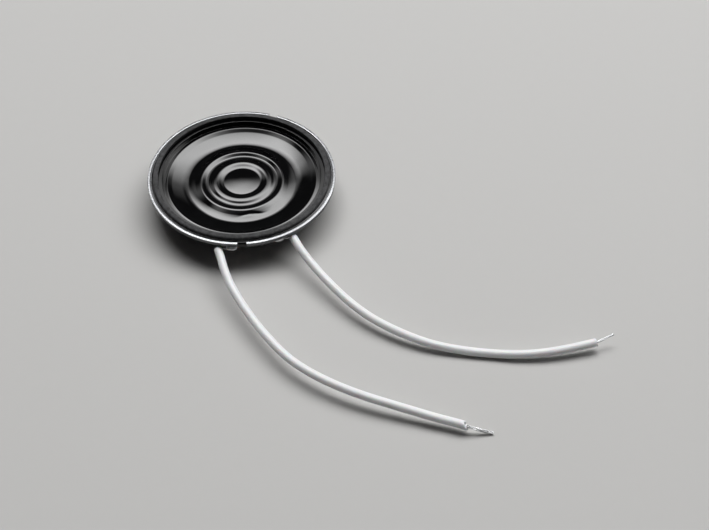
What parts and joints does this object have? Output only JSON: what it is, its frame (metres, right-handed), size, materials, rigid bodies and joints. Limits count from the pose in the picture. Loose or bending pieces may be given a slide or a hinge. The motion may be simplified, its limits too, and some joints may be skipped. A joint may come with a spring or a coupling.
{
  "type": "mini speaker",
  "caption": "Small round moving-coil speaker with a glossy black film diaphragm, a fibre gasket ring, a steel frame and soldered white leads with bare tinned ends.",
  "frame": {"origin": "centre of the yoke's flat back, on the surface that the speaker lies on", "axes": "+Z out through the film, -Y towards the middle of the terminal board, +X to the right of it"},
  "size_m": [0.06, 0.0643, 0.0052],
  "materials": {
    "frame_steel": "bright stamped steel",
    "yoke_steel": "zinc-plated, satin",
    "magnet_plating": "nickel-plated",
    "enamelled_copper": "enamelled winding wire",
    "black_film": "glossy pressed film",
    "grey_fibre": "matte pressed fibre",
    "acoustic_cloth": "fine woven cloth",
    "fibre_board": "black fibre board",
    "copper_foil": "bare copper foil",
    "solder": "bright tin solder",
    "adhesive": "cured amber adhesive",
    "white_jacket": "smooth white plastic, satin",
    "tinned_strands": "bright tinned strands"
  },
  "bodies": {
    "root": {"frame": "frame_steel", "yoke_cup": "yoke_steel", "magnet": "magnet_plating", "top_plate": "yoke_steel", "voice_coil": "enamelled_copper", "diaphragm": "black_film", "gasket_ring": "grey_fibre", "vent_cloth": "acoustic_cloth", "terminal_board": "fibre_board", "left_pad": "copper_foil", "right_pad": "copper_foil", "left_solder_joint": "solder", "right_solder_joint": "solder", "left_coil_lead": "enamelled_copper", "right_coil_lead": "enamelled_copper", "left_lead_seal": "adhesive", "right_lead_seal": "adhesive", "left_jacket": "white_jacket", "right_jacket": "white_jacket", "left_conductor": "tinned_strands", "right_conductor": "tinned_strands"}
  },
  "joints": []
}
